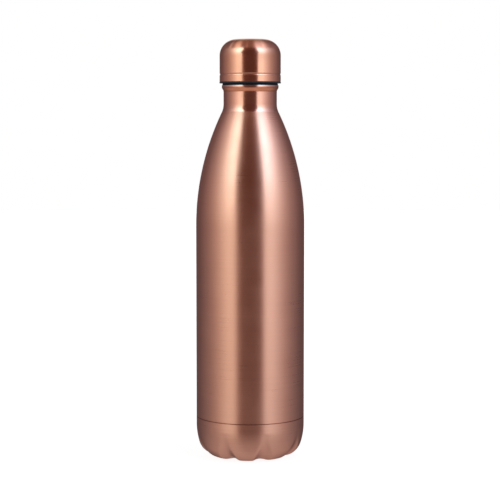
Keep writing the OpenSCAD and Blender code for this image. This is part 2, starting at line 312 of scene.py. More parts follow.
def shell_outline(shell, liner):
    """Closed outline of the outer shell: seam bevel, outside up to the lip, and back down inside."""
    edge = arc(shell.lip_r - shell.lip_round, RIM_Z - shell.lip_round, shell.lip_round,
               OUT, rim_turn(shell, liner), steps=10)
    outside = joined([[BODY_R - shell.bevel, SEAM_Z], [BODY_R, SEAM_Z + shell.bevel]],
                     shell_curve(shell, liner, depth=0, steps=16), edge)
    inside = joined([[BODY_R - shell.wall, SEAM_Z]],
                    shell_curve(shell, liner, depth=shell.wall, steps=6),
                    [[shell.lip_r - shell.wall, RIM_Z - liner.wall]])
    return joined(dense(outside, step=2.5 * MM), dense(inside, step=8 * MM)[::-1])


def liner_curve(shell, liner, depth, steps):
    """Side of the inner bottle at a depth inside its vacuum side, from shoulder to neck."""
    inset = BODY_R - LINER_R + depth
    neck_inset = shell.neck_r - liner.neck_r + depth
    return shoulder_curve(BODY_R - inset, shell.neck_r - neck_inset, shell.shoulder_z,
                          shell.shoulder_rad - inset, shell.neck_fillet + neck_inset, steps)


def finer_in_neck(points, mouth_z, step):
    """An outline with close points along the neck, which carries a thread, and wider ones below it."""
    below = points[:, 1] < mouth_z - THREADED_RUN
    last = np.flatnonzero(below)[-1] + 1
    return joined(dense(points[:last + 1], step=6 * MM), dense(points[last:], step))


def liner_outline(shell, liner):
    """Closed outline of the inner bottle: vacuum side up, rim out over the lip, water side down."""
    mouth_x = liner.neck_r - liner.wall + liner.mouth_round
    mouth_z = RIM_Z - liner.mouth_round
    rim = arc(shell.lip_r - shell.lip_round, RIM_Z - shell.lip_round, shell.lip_round,
              rim_turn(shell, liner), UP, steps=8)
    vacuum = joined([[LINER_R, LINER_SEAM_Z]], liner_curve(shell, liner, depth=0, steps=16),
                    arc(mouth_x, mouth_z, liner.mouth_round - liner.wall, IN, UP, steps=8), rim)
    water = joined([[LINER_R - liner.wall, LINER_SEAM_Z]],
                   liner_curve(shell, liner, depth=liner.wall, steps=16),
                   arc(mouth_x, mouth_z, liner.mouth_round, IN, UP, steps=12))
    return joined(finer_in_neck(vacuum, mouth_z, 2 * THREAD_STEP),
                  finer_in_neck(water, mouth_z, THREAD_STEP)[::-1])


def base_curve(base, depth, steps):
    """Base outline before its valleys are pressed in, at a depth inside its outer face.

    From flank to axis: slow flank arc, corner arc, flat pad, and two equal arcs that turn opposite ways
    up into the recess."""
    flank_x = BODY_R - base.flank_rad
    corner_z = base.corner_rad
    drop = base.flank_z - corner_z
    pad_out = flank_x + math.sqrt((base.flank_rad - base.corner_rad) ** 2 - drop ** 2)
    pad_in = pad_out - base.pad_w
    corner_turn = math.atan2(drop, pad_out - flank_x)
    recess_turn = math.acos(1 - base.recess_h / (2 * base.recess_rad))
    recess_r = pad_in - 2 * base.recess_rad * math.sin(recess_turn)
    recess_z = base.recess_h - base.recess_rad
    return joined(
        arc(flank_x, base.flank_z, base.flank_rad - depth, OUT, -corner_turn, steps),
        arc(pad_out, corner_z, base.corner_rad - depth, -corner_turn, DOWN, steps),
        arc(pad_in, base.recess_rad, base.recess_rad - depth, DOWN, DOWN - recess_turn, steps),
        arc(recess_r, recess_z, base.recess_rad + depth, UP - recess_turn, UP, steps),
        [[0, base.recess_h + depth]])


def cover_curve(lid, depth, steps):
    """Side and top of the lid's cover at a depth inside its outer face, from its lower edge to the axis.

    A shallow rolled groove, one large rounded edge and a slight crown."""
    bow = (lid.groove_w ** 2 / 4 + lid.groove_depth ** 2) / (2 * lid.groove_depth)
    half = math.acos((bow - lid.groove_depth + depth) / (bow + depth))
    groove = arc(CAP_R - lid.groove_depth + bow, CAP_Z + lid.groove_z, bow + depth,
                 IN + half, IN - half, steps)
    crown_z = CAP_TOP_Z - lid.crown_rad
    corner_x = CAP_R - lid.corner_rad
    corner_z = crown_z + math.sqrt((lid.crown_rad - lid.corner_rad) ** 2 - corner_x ** 2)
    crown_turn = math.asin(corner_x / (lid.crown_rad - lid.corner_rad))
    return joined([[CAP_R - depth, CAP_Z]], groove,
                  arc(corner_x, corner_z, lid.corner_rad - depth, OUT, UP - crown_turn, 3 * steps),
                  arc(0, crown_z, lid.crown_rad - depth, UP - crown_turn, UP, steps))


def cover_outline(lid):
    """Closed outline of the cover, with its lower edge rounded off.

    One more point just above the edge keeps its rounding out of the wall's shading."""
    outside = joined([[CAP_R, CAP_Z + 2 * lid.cover_edge]], cover_curve(lid, depth=0, steps=16)[1:])
    inside = cover_curve(lid, depth=lid.cover_wall, steps=8)
    edge = arc(CAP_R - lid.cover_edge, CAP_Z + lid.cover_edge, lid.cover_edge, DOWN, OUT, steps=6)
    return joined(edge, dense(outside, step=1.5 * MM), dense(inside, step=3 * MM)[::-1])


def plug_radius(liner, thread):
    """Radius of the plug's core, which leaves room in the mouth for one ridge and a gap."""
    return liner.neck_r - liner.wall - thread.depth - thread.gap


def plug_outline(lid, core):
    """Closed outline of the plug: bevelled end, long core, rounded flange, collar inside the cover."""
    flange_in = FLANGE_R - lid.flange_round
    low = arc(flange_in, FLANGE_Z + lid.flange_round, lid.flange_round, DOWN, OUT, steps=8)
    high = arc(flange_in, CAP_Z - lid.flange_round, lid.flange_round, OUT, UP, steps=8)
    collar = cover_curve(lid, depth=lid.cover_wall, steps=8)
    collar = joined(collar[collar[:, 1] < COLLAR_Z], [[CAP_R - lid.cover_wall, COLLAR_Z]])
    outside = joined([[REBATE_R, PLUG_Z], [core - lid.plug_bevel, PLUG_Z]],
                     dense(np.array([[core, PLUG_Z + lid.plug_bevel], [core, FLANGE_Z]]), THREAD_STEP),
                     low, high, collar)
    collar_in = CAP_R - lid.cover_wall - lid.collar_wall
    plug_in = core - lid.plug_wall
    inside = [[collar_in, COLLAR_Z], [collar_in, CAP_Z], [plug_in, CAP_Z],
              [plug_in, PLUG_Z + lid.disc_lip], [REBATE_R, PLUG_Z + lid.disc_lip]]
    return joined(outside, inside)


def seal_outline(lid, core):
    """Closed outline of the seal: flat above and below, with an outer edge that bulges when squeezed."""
    thickness = FLANGE_Z - RIM_Z
    bow = (thickness ** 2 / 4 + lid.seal_bulge ** 2) / (2 * lid.seal_bulge)
    half = math.asin(thickness / (2 * bow))
    edge = arc(SEAL_R - bow, (RIM_Z + FLANGE_Z) / 2, bow, -half, half, steps=16)
    return joined([[core + lid.seal_fit, RIM_Z]], edge, [[core + lid.seal_fit, FLANGE_Z]])


# Surfaces on a grid of outline points by turns about the axis

# Angle about the axis at which the front lies
FRONT = -math.pi / 2
# Height over which a valley fades at its upper end
VALLEY_FADE = 2 * MM
# Two faces that meet at a larger angle than this have a sharp edge between them
SHARP = math.radians(35)


def turned(outline, columns):
    """Radius, height and angle at every point of an outline that is turned about the Z axis."""
    angles = np.linspace(0, math.tau, columns, endpoint=False)
    r, t = np.meshgrid(outline[:, 0], angles, indexing="ij")
    z = np.broadcast_to(outline[:, 1:], r.shape)
    return r, z, t


def smooth(x):
    """0 below 0, 1 above 1, and the curve 3x^2 - 2x^3 between them."""
    x = np.clip(x, 0, 1)
    return x * x * (3 - 2 * x)


def ridge(z, t, start_z, turns, thread):
    """Height of a right-hand thread at height z and angle t, from 0 to 1.

    The ridge's middle climbs one lead in each turn. Its section rises smoothly from root width to crest
    width, and it fades at both ends."""
    climbed = (z - start_z) / thread.lead
    place = t / math.tau
    place = place + np.round(climbed - place)
    off = np.abs(climbed - place) * thread.lead
    section = smooth((thread.root / 2 - off) / ((thread.root - thread.crest) / 2))
    return section * smooth(place / thread.run_out) * smooth((turns - place) / thread.run_out)


def outward(outline):
    """Unit normals of an outline that runs clockwise, from the tangents at its points."""
    along = np.gradient(outline, axis=0)
    normal = np.stack([-along[:, 1], along[:, 0]], axis=1)
    return normal / np.linalg.norm(normal, axis=1, keepdims=True)


def pressed(base, outline, columns, depth):
    """Base outline turned about the axis, with a valley pressed in between each two feet.

    A valley is a tube bent into a quarter ring in the plane of its own angle, and straight further in. A
    point that lies inside the tube moves along the outline's normal by its depth in the tube, softened
    along the folds."""
    r, z, t = turned(outline, columns)
    pitch = math.tau / base.feet
    off = (t - FRONT - base.turn) % pitch - pitch / 2
    centre_z = base.valley_floor + base.valley_rad
    centre_r = BODY_R - base.valley_rad * math.cos(base.valley_exit)
    run = np.maximum(r * np.cos(off) - centre_r, 0)
    ring = np.hypot(run, z - centre_z) - base.valley_rad - base.valley_tube
    inside = base.valley_tube + depth - np.hypot(ring, r * np.sin(off))
    push = (inside + np.sqrt(inside ** 2 + base.crease ** 2)) / 2
    push = push * smooth((centre_z - z) / VALLEY_FADE)
    normal = outward(outline)
    return r - push * normal[:, :1], z - push * normal[:, 1:], t


def lathe_piece(name, r, z, t):
    """Mesh through the points (r cos t, r sin t, z), closed round the axis and along the outline.

    A row of points on the axis becomes one vertex. Faces point away from the material."""
    rows, columns = r.shape
    points = np.stack([r * np.cos(t), r * np.sin(t), z], axis=-1).reshape(-1, 3)
    index = np.arange(rows * columns).reshape(rows, columns)
    on_axis = np.abs(r).max(axis=1) < TOUCHING
    index[on_axis] = index[on_axis, :1]
    across = np.roll(index, -1, axis=1)
    around = [index, across, np.roll(across, -1, axis=0), np.roll(index, -1, axis=0)]
    quads = np.stack(around, axis=-1).reshape(-1, 4)
    mean_r, mean_z = r.mean(axis=1), z.mean(axis=1)
    area = np.sum(mean_r * np.roll(mean_z, -1) - np.roll(mean_r, -1) * mean_z)
    if area < 0:
        quads = quads[:, ::-1]
    same_first = quads[:, 0] == quads[:, 1]
    same_last = quads[:, 2] == quads[:, 3]
    fans = np.concatenate([quads[same_first & ~same_last][:, 1:], quads[same_last & ~same_first][:, :3]])
    quads = quads[~same_first & ~same_last]
    used, corners = np.unique(np.concatenate([quads.ravel(), fans.ravel()]), return_inverse=True)
    faces = corners[:quads.size].reshape(-1, 4).tolist() + corners[quads.size:].reshape(-1, 3).tolist()
    mesh = bpy.data.meshes.new(name)
    mesh.from_pydata(points[used], [], faces)
    mesh.shade_smooth()
    mesh.set_sharp_from_angle(angle=SHARP)
    mesh.validate()
    piece = bpy.data.objects.new(name, mesh)
    bpy.context.scene.collection.objects.link(piece)
    return piece


def finish_piece(piece, material, body, node):
    """Gives a new piece its material, and lets it ride on a body in place of the part it stands for."""
    piece.data.materials.append(material)
    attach(piece, body)
    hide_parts(node)


# Materials

# Turn of the stretched reflections from along the tangent to across it, as a share of a full turn
GRAIN_TURN = 0.25
# Range in which nearly all of a noise pattern lies, and the part of it that shows as smudges
NOISE_SPAN = (0.3, 0.7)
SMUDGE_SPAN = (0.35, 0.65)
# Numbers of the Mix node's two colour inputs and of its colour output
MIX_COLOURS = (6, 7)
MIX_RESULT = 2


def add_node(tree, kind, inputs=None, **settings):
    """A new node with these settings. An input is a value, or the output of another node."""
    made = tree.nodes.new(kind)
    for name, value in settings.items():
        setattr(made, name, value)
    for name, value in (inputs or {}).items():
        if isinstance(value, bpy.types.NodeSocket):
            tree.links.new(value, made.inputs[name])
        else:
            made.inputs[name].default_value = value
    return made


def calculate(tree, operation, *values):
    """Output of a Math node."""
    return add_node(tree, "ShaderNodeMath", dict(enumerate(values)), operation=operation).outputs[0]


def between(tree, value, low, high, to_low=0.0, to_high=1.0):
    """A value carried from one range to another, smoothly and without leaving it."""
    inputs = {"Value": value, "From Min": low, "From Max": high, "To Min": to_low, "To Max": to_high}
    return add_node(tree, "ShaderNodeMapRange", inputs, interpolation_type="SMOOTHSTEP").outputs[0]


def uneven(tree, pattern, level, spread):
    """A level that a noise pattern varies, by spread at most."""
    return between(tree, pattern, *NOISE_SPAN, level - spread, level + spread)


def mixed(tree, factor, first, second):
    """A number that goes from one to another with a factor."""
    return add_node(tree, "ShaderNodeMix", {"Factor": factor, "A": first, "B": second}).outputs[0]


def mixed_colour(tree, factor, first, second):
    """A colour that goes from one to another with a factor."""
    node = add_node(tree, "ShaderNodeMix", data_type="RGBA")
    tree.links.new(factor, node.inputs["Factor"])
    for socket, value in zip(MIX_COLOURS, (first, second)):
        if isinstance(value, bpy.types.NodeSocket):
            tree.links.new(value, node.inputs[socket])
        else:
            node.inputs[socket].default_value = (*value, 1.0)
    return node.outputs[MIX_RESULT]


def scaled(tone, factor):
    """A colour made darker or paler by a factor."""
    return [factor * channel for channel in tone]


def own_place(tree):
    """The piece's own coordinates."""
    return add_node(tree, "ShaderNodeTexCoord").outputs["Object"]


def noise(tree, scale, detail, stretch=(1.0, 1.0, 1.0)):
    """Noise on the piece's own coordinates, with features about 1 / scale metres across.

    Stretch multiplies the coordinates, so a large number makes the features narrow along its axis."""
    mapping = add_node(tree, "ShaderNodeMapping", {"Vector": own_place(tree), "Scale": stretch})
    inputs = {"Vector": mapping.outputs["Vector"], "Scale": scale, "Detail": detail, "Roughness": 0.6}
    return add_node(tree, "ShaderNodeTexNoise", inputs).outputs["Fac"]


def cells(tree, scale, feature):
    """Distance to the nearest, F1, or second nearest, F2, of points about 1 / scale metres apart."""
    inputs = {"Vector": own_place(tree), "Scale": scale}
    return add_node(tree, "ShaderNodeTexVoronoi", inputs, feature=feature).outputs["Distance"]


def new_material(name, **sockets):
    """A material with one principled shader, whose sockets are set from the names given here."""
    material = bpy.data.materials.new(name)
    material.use_nodes = True
    shader = material.node_tree.nodes["Principled BSDF"]
    for key, value in sockets.items():
        shader.inputs[key.replace("_", " ").title().replace("Ior", "IOR")].default_value = value
    return material, material.node_tree, shader


def bump(tree, shader, height, depth, strength):
    """Lets a height pattern of this real depth tilt the surface."""
    inputs = {"Height": height, "Distance": depth, "Strength": strength}
    normal = add_node(tree, "ShaderNodeBump", inputs).outputs["Normal"]
    tree.links.new(normal, shader.inputs["Normal"])


def brush_lines(tree):
    """Fine lines that run round the axis: the mean of hair lines and wider streaks.

    Both are noise that is squeezed along the height."""
    hair = noise(tree, scale=30, detail=5.0, stretch=(1.0, 1.0, 200.0))
    streak = noise(tree, scale=9, detail=3.0, stretch=(1.0, 1.0, 150.0))
    return calculate(tree, "MULTIPLY", calculate(tree, "ADD", hair, streak), 0.5)


def brushed_metal(name, finishes, **sockets):
    """A metal with lines round the axis, across which it stretches its reflections, and those lines."""
    material, tree, shader = new_material(name, metallic=1.0, anisotropic=finishes.grain,
                                          anisotropic_rotation=GRAIN_TURN, **sockets)
    tangent = add_node(tree, "ShaderNodeTangent", direction_type="RADIAL", axis="Z").outputs["Tangent"]
    tree.links.new(tangent, shader.inputs["Tangent"])
    return material, tree, shader, brush_lines(tree)


def copper_material(name, finishes, polished, polished_above):
    """Copper finish, brushed round the axis below a height and polished, in its own colour, above it.

    Faint smudges change its gloss, and its colour where it is polished. Narrow bands round the axis have
    other colours: a painted orange reflection in the concave curve under the lip, the bare rim and the
    weld seam's groove."""
    glancing = (*finishes.glancing, 1.0)
    material, tree, shader, lines = brushed_metal(name, finishes, specular_tint=glancing)
    height = add_node(tree, "ShaderNodeSeparateXYZ", {"Vector": own_place(tree)}).outputs["Z"]
    edge = 0.4 * MM
    polish = between(tree, height, polished_above - edge, polished_above + edge)
    smudge = between(tree, noise(tree, scale=40, detail=2.0), *SMUDGE_SPAN)
    brushed = uneven(tree, lines, finishes.brushed, spread=0.025)
    haze = 0.02
    hazy = calculate(tree, "MULTIPLY_ADD", smudge, 2 * haze, -haze)
    roughness = calculate(tree, "ADD", mixed(tree, polish, brushed, finishes.polish), hazy)
    tree.links.new(roughness, shader.inputs["Roughness"])
    marks = between(tree, lines, *NOISE_SPAN)
    tone = mixed_colour(tree, marks, finishes.dark_copper, finishes.pale_copper)
    handled = mixed_colour(tree, smudge, polished, scaled(polished, factor=0.94))
    tone = mixed_colour(tree, polish, tone, handled)
    # Colour, height, and distances from that height at which each band starts to fade and ends
    bands = (
        # Painted reflection: an orange band in the concave curve under the lip stands in for the
        # shoulder's reflection there.
        (finishes.painted_reflection, finishes.painted_reflection_z, 1.2 * MM, 1.9 * MM),
        (finishes.bare_rim, RIM_Z, 0.8 * MM, 1.0 * MM),
        (finishes.seam, SEAM_Z, 0.25 * MM, 0.5 * MM),
    )
    for band, middle, fades, ends in bands:
        off = calculate(tree, "ABSOLUTE", calculate(tree, "SUBTRACT", height, middle))
        tone = mixed_colour(tree, between(tree, off, fades, ends), band, tone)
    tree.links.new(tone, shader.inputs["Base Color"])
    bump(tree, shader, lines, depth=0.002 * MM, strength=0.2)
    return material


def steel_material(name, finishes):
    """Bare spun steel with fine lines round the axis."""
    material, tree, shader, lines = brushed_metal(name, finishes)
    tree.links.new(uneven(tree, lines, level=0.28, spread=0.06), shader.inputs["Roughness"])
    tone = mixed_colour(tree, lines, scaled(finishes.steel, factor=0.8), finishes.steel)
    tree.links.new(tone, shader.inputs["Base Color"])
    bump(tree, shader, lines, depth=0.003 * MM, strength=0.3)
    return material


def plastic_material(name, base, rough, grain_scale, depth):
    """Moulded black plastic or silicone: a fine grain, uneven gloss and slightly paler worn spots."""
    material, tree, shader = new_material(name, specular_ior_level=0.3)
    grain = noise(tree, grain_scale, detail=3.0)
    patches = noise(tree, scale=220, detail=2.0)
    tree.links.new(uneven(tree, patches, rough, spread=0.03), shader.inputs["Roughness"])
    tone = mixed_colour(tree, patches, base, scaled(base, factor=1.3))
    tree.links.new(tone, shader.inputs["Base Color"])
    bump(tree, shader, grain, depth, strength=0.4)
    return material


def foam_material(name, finishes):
    """Insulating foam: round cells, with painted shade darkening their pits."""
    material, tree, shader = new_material(name, roughness=0.95)
    pores = cells(tree, scale=1400.0, feature="F1")
    # Painted shade: the colour darkens towards each cell's middle, the pit.
    tone = mixed_colour(tree, pores, scaled(finishes.foam, factor=0.6), finishes.foam)
    tree.links.new(tone, shader.inputs["Base Color"])
    bump(tree, shader, pores, depth=0.2 * MM, strength=0.7)
    return material


def foil_material(name, finishes):
    """Crinkled reflecting foil: facets with folds between them, and a gloss that varies across each. Its
    colour darkens along the folds as painted shade.
    """
    material, tree, shader = new_material(name, metallic=1.0)
    folds = cells(tree, scale=160.0, feature="F2")
    roughness = between(tree, folds, low=0.2, high=0.9, to_low=0.12, to_high=0.3)
    tree.links.new(roughness, shader.inputs["Roughness"])
    # Painted shade: the colour is darker along the folds.
    tone = mixed_colour(tree, folds, scaled(finishes.foil, factor=0.85), finishes.foil)
    tree.links.new(tone, shader.inputs["Base Color"])
    bump(tree, shader, folds, depth=0.3 * MM, strength=0.6)
    return material


def grainy_material(name, base, rough, metallic):
    """Pressed powder or solidified glass: a mottled colour and a fine uneven surface."""
    material, tree, shader = new_material(name, metallic=metallic)
    grains = noise(tree, scale=2500, detail=4.0)
    tree.links.new(uneven(tree, grains, rough, spread=0.08), shader.inputs["Roughness"])
    tone = mixed_colour(tree, grains, scaled(base, factor=0.6), base)
    tree.links.new(tone, shader.inputs["Base Color"])
    bump(tree, shader, grains, depth=0.05 * MM, strength=0.5)
    return material


# Studio. A direction's place across runs from the front, 0, to the back, 1, and its place up from
# straight down, 0, to straight up, 1.

TO_FRONT = (0.0, -1.0, 0.0)
WHITE = (1.0, 1.0, 1.0)
# Brightness of the side panels by the place across, and by the place up
PANEL_ACROSS = ((0.0, 0.0), (0.09, 0.01), (0.138, 0.06), (0.158, 0.27), (0.172, 0.80), (0.192, 1.0),
                (0.245, 1.0), (0.30, 0.86), (0.354, 0.68), (0.42, 0.47), (0.50, 0.29), (0.58, 0.18),
                (0.64, 0.13), (0.72, 0.06), (1.0, 0.03))
PANEL_UP = ((0.0, 0.02), (0.33, 0.03), (0.40, 0.08), (0.444, 0.13), (0.467, 0.225), (0.485, 0.38),
            (0.497, 0.47), (0.53, 0.485), (0.57, 0.51), (0.62, 0.69), (0.66, 0.84), (0.71, 0.96),
            (0.75, 0.78), (0.80, 0.6), (0.86, 0.45), (0.90, 0.25), (1.0, 0.1))
# How far each panel's front edge leans by the place up: to the front above 0.5, away from it below 0.5
LEFT_LEAN = ((0.0, 0.6), (0.36, 0.59), (0.444, 0.565), (0.467, 0.555), (0.50, 0.50), (0.57, 0.465),
             (0.64, 0.41), (0.72, 0.485), (0.79, 0.41), (0.86, 0.22), (1.0, 0.2))
RIGHT_LEAN = ((0.0, 0.6), (0.36, 0.59), (0.444, 0.54), (0.467, 0.525), (0.50, 0.52), (0.57, 0.485),
              (0.64, 0.455), (0.72, 0.50), (0.86, 0.49), (1.0, 0.5))
UPRIGHT = 0.5
LEAN_RANGE = 0.4
# Brightness of the strips overhead, which run from front to back, from the middle, 0, to the side, 1
TOP_LEFT = ((0.0, 0.0), (0.045, 0.01), (0.068, 0.28), (0.092, 0.08), (0.15, 0.03), (0.185, 0.09),
            (0.225, 0.60), (0.26, 0.75), (0.31, 0.72), (0.345, 0.60), (0.39, 0.27), (0.43, 0.22),
            (0.478, 0.46), (0.515, 0.30), (0.56, 0.11), (0.70, 0.09), (1.0, 0.03))
TOP_RIGHT = ((0.0, 0.01), (0.05, 0.05), (0.09, 0.28), (0.135, 0.76), (0.16, 0.88), (0.187, 0.70),
             (0.215, 0.88), (0.257, 0.64), (0.29, 0.95), (0.33, 0.80), (0.39, 0.44), (0.45, 0.24),
             (0.50, 0.17), (0.61, 0.13), (0.75, 0.08), (1.0, 0.03))
# Rise at which the strips take over from the panels, and the strips' gain at a low and at a high rise
TAKE_OVER = (math.radians(24), math.radians(29))
HIGH_RISE = math.radians(70)
LOW_GAIN = 1.2
HIGH_GAIN = 0.08
# How much faster than red the lights' green and blue fade towards their edges
FADE = (1.25, 1.28)
# Tints of the light, low and high, and the places up over which the high ones set in
LEFT_TINT = (1.0, 0.95, 0.87)
HIGH_LEFT_TINT = (1.0, 0.985, 0.96)
HIGH_LEFT_UP = (0.50, 0.62)
RIGHT_TINT = (1.0, 0.995, 1.01)
HIGH_RIGHT_TINT = (1.02, 1.08, 1.30)
HIGH_RIGHT_UP = (0.55, 0.66)
HIGH_TINT = (0.80, 1.05, 1.15)
HIGH_UP = (0.45, 0.64)
# Sideways part of a direction over which the left side's light gives way to the right side's
SIDE_SPAN = (-0.2, 0.2)
# Places across over which the lean of a panel's front edge ends
LEAN_ACROSS = (0.45, 0.25)
# Colours of the room, and the places up and across over which each sets in
ROOM_FRONT = (0.092, 0.037, 0.028)
ROOM_BACK = (0.091, 0.096, 0.127)
ROOM_ACROSS = (0.2, 0.6)
CEILING = (0.22, 0.13, 0.11)
CEILING_UP = (0.76, 0.81)
FLOOR_GLOW = (0.43, 0.37, 0.385)
GLOW_UP = (0.475, 0.27)
GLOW_ACROSS = (1.0, 0.5)
FULL_GLOW_UP = (0.36, 0.14)
BACK_PANEL = (0.80, 0.78, 0.76)
BACK_ACROSS = (0.92, 0.98)
BACK_FOOT_UP = (0.22, 0.40)
BACK_TOP_UP = (0.80, 0.66)
# Floor: rings, points in each ring, grey and gloss, and its own glow beside the bottle, lower there to
# paint a pool of shade, and further out
FLOOR_RINGS = 24
FLOOR_COLUMNS = 96
FLOOR_GREY = (0.25, 0.25, 0.25)
FLOOR_ROUGHNESS = 0.7
SHADED_POOL_GLOW = 0.88
FAR_GLOW = 1.0


def float_curve(tree, value, points):
    """A value read off a curve through these points. A new curve already has two of them."""
    node = add_node(tree, "ShaderNodeFloatCurve", {"Value": value})
    curve = node.mapping.curves[0]
    for _ in points[2:]:
        curve.points.new(0.5, 0.5)
    for point, place in zip(curve.points, points):
        point.location = place
        point.handle_type = "AUTO_CLAMPED"
    node.mapping.update()
    return node.outputs[0]


def vector_math(tree, operation, first, second):
    """Output of a Vector Math node with two vectors or colours."""
    return add_node(tree, "ShaderNodeVectorMath", {0: first, 1: second}, operation=operation).outputs[0]


def faded(tree, level, gain):
    """Light of this level, from 0 to 1, and gain. Its green and blue fade faster than its red."""
    channels = [level] + [calculate(tree, "POWER", level, power) for power in FADE]
    light = add_node(tree, "ShaderNodeCombineXYZ", dict(enumerate(channels))).outputs[0]
    inputs = {0: light, "Scale": gain}
    return add_node(tree, "ShaderNodeVectorMath", inputs, operation="SCALE").outputs[0]


def side_panels(tree, across, up, side, brightness):
    """Light of the two tall panels. The front edges lean, and the light grows cooler with height."""
    gain = calculate(tree, "MULTIPLY", float_curve(tree, up, PANEL_UP), brightness)
    lean = mixed(tree, side, float_curve(tree, up, LEFT_LEAN), float_curve(tree, up, RIGHT_LEAN))
    lean = calculate(tree, "MULTIPLY", calculate(tree, "SUBTRACT", lean, UPRIGHT), LEAN_RANGE)
    leaning = calculate(tree, "MULTIPLY_ADD", lean, between(tree, across, *LEAN_ACROSS), across)
    light = faded(tree, float_curve(tree, leaning, PANEL_ACROSS), gain)
    cooler = mixed_colour(tree, between(tree, up, *HIGH_UP), WHITE, HIGH_TINT)
    return vector_math(tree, "MULTIPLY", light, cooler)


def overhead_light(tree, direction, side):
    """Light of the strips overhead, and how far it takes over from the side panels.

    A strip lies at one angle round the axis of the point halfway between a direction and the front, and
    its brightness depends on that point's rise."""
    halfway = vector_math(tree, "ADD", direction, TO_FRONT)
    halfway = add_node(tree, "ShaderNodeVectorMath", {0: halfway}, operation="NORMALIZE").outputs[0]
    axes = add_node(tree, "ShaderNodeSeparateXYZ", {"Vector": halfway}).outputs
    front = calculate(tree, "MULTIPLY", axes["Y"], -1.0)
    turn = calculate(tree, "ARCTAN2", calculate(tree, "ABSOLUTE", axes["X"]), front)
    across = calculate(tree, "DIVIDE", turn, math.pi / 2)
    level = mixed(tree, side, float_curve(tree, across, TOP_LEFT), float_curve(tree, across, TOP_RIGHT))
    rise = calculate(tree, "ARCSINE", axes["Z"])
    light = faded(tree, level, between(tree, rise, HIGH_RISE, TAKE_OVER[0], HIGH_GAIN, LOW_GAIN))
    return light, between(tree, rise, *TAKE_OVER)


def dim_room(tree, across, up):
    """Light of the room round the panels: front and back, ceiling, the floor's glow, a back panel."""
    room = mixed_colour(tree, between(tree, across, *ROOM_ACROSS), ROOM_FRONT, ROOM_BACK)
    room = mixed_colour(tree, between(tree, up, *CEILING_UP), room, CEILING)
    below = calculate(tree, "MULTIPLY", between(tree, up, *GLOW_UP), between(tree, across, *GLOW_ACROSS))
    below = calculate(tree, "MAXIMUM", below, between(tree, up, *FULL_GLOW_UP))
    room = mixed_colour(tree, below, room, FLOOR_GLOW)
    behind = calculate(tree, "MULTIPLY", between(tree, up, *BACK_FOOT_UP),
                       between(tree, across, *BACK_ACROSS))
    behind = calculate(tree, "MULTIPLY", behind, between(tree, up, *BACK_TOP_UP))
    return mixed_colour(tree, behind, room, BACK_PANEL)


def studio_world(studio):
    """Light that depends on direction alone: tall soft side panels, strips overhead and a dim room.

    The camera itself sees white."""
    world = bpy.data.worlds.new("studio")
    world.use_nodes = True
    tree = world.node_tree
    tree.nodes.clear()
    direction = add_node(tree, "ShaderNodeTexCoord").outputs["Generated"]
    axes = add_node(tree, "ShaderNodeSeparateXYZ", {"Vector": direction}).outputs
    front = calculate(tree, "MULTIPLY", axes["Y"], -1.0)
    azimuth = calculate(tree, "ABSOLUTE", calculate(tree, "ARCTAN2", axes["X"], front))
    across = calculate(tree, "DIVIDE", azimuth, math.pi)
    elevation = calculate(tree, "ARCSINE", axes["Z"])
    up = calculate(tree, "MULTIPLY_ADD", elevation, 1 / math.pi, 0.5)
    side = between(tree, axes["X"], *SIDE_SPAN)
    strips, high = overhead_light(tree, direction, side)
    light = mixed_colour(tree, high, side_panels(tree, across, up, side, studio.panel), strips)
    left_tint = mixed_colour(tree, between(tree, up, *HIGH_LEFT_UP), LEFT_TINT, HIGH_LEFT_TINT)
    right_tint = mixed_colour(tree, between(tree, up, *HIGH_RIGHT_UP), RIGHT_TINT, HIGH_RIGHT_TINT)
    light = vector_math(tree, "MULTIPLY", light, mixed_colour(tree, side, left_tint, right_tint))
    light = vector_math(tree, "ADD", dim_room(tree, across, up), light)
    lit = add_node(tree, "ShaderNodeBackground", {"Color": light}).outputs[0]
    white = add_node(tree, "ShaderNodeBackground", {"Color": (*WHITE, 1.0)}).outputs[0]
    camera_ray = add_node(tree, "ShaderNodeLightPath").outputs["Is Camera Ray"]
    choice = add_node(tree, "ShaderNodeMixShader", {0: camera_ray, 1: lit, 2: white}).outputs[0]
    add_node(tree, "ShaderNodeOutputWorld", {"Surface": choice})
    bpy.context.scene.world = world


def floor_material(studio):
    """Pale floor that takes a soft shadow near the bottle, deepened by painted shade where its glow is
    weaker, and runs into the white further out.
    """
    material, tree, shader = new_material("pale_floor", base_color=(*FLOOR_GREY, 1.0),
                                          roughness=FLOOR_ROUGHNESS, emission_color=(*WHITE, 1.0))
    distance = add_node(tree, "ShaderNodeVectorMath", {0: own_place(tree)}, operation="LENGTH")
    # Painted shade: the floor glows less within the pool round the bottle, a darker pool beside its real
    # shadow.
    glow = between(tree, distance.outputs["Value"], 0.0, studio.pool_r, SHADED_POOL_GLOW, FAR_GLOW)
    tree.links.new(glow, shader.inputs["Emission Strength"])
    return material


def floor_piece(studio):
    """Round floor through the points (r cos t, r sin t, 0): rings of quads about a middle face."""
    radii = np.linspace(0, studio.floor_r, FLOOR_RINGS + 1)[1:]
    angles = np.linspace(0, math.tau, FLOOR_COLUMNS, endpoint=False)
    r, t = np.meshgrid(radii, angles, indexing="ij")
    points = np.stack([r * np.cos(t), r * np.sin(t), 0 * r], axis=-1).reshape(-1, 3)
    index = np.arange(r.size).reshape(r.shape)
    across = np.roll(index, -1, axis=1)
    quads = np.stack([index[:-1], index[1:], across[1:], across[:-1]], axis=-1).reshape(-1, 4)
    mesh = bpy.data.meshes.new("floor")
    mesh.from_pydata(points, [], [index[0].tolist()] + quads.tolist())
    mesh.materials.append(floor_material(studio))
    return bpy.data.objects.new("floor", mesh)


# Operators


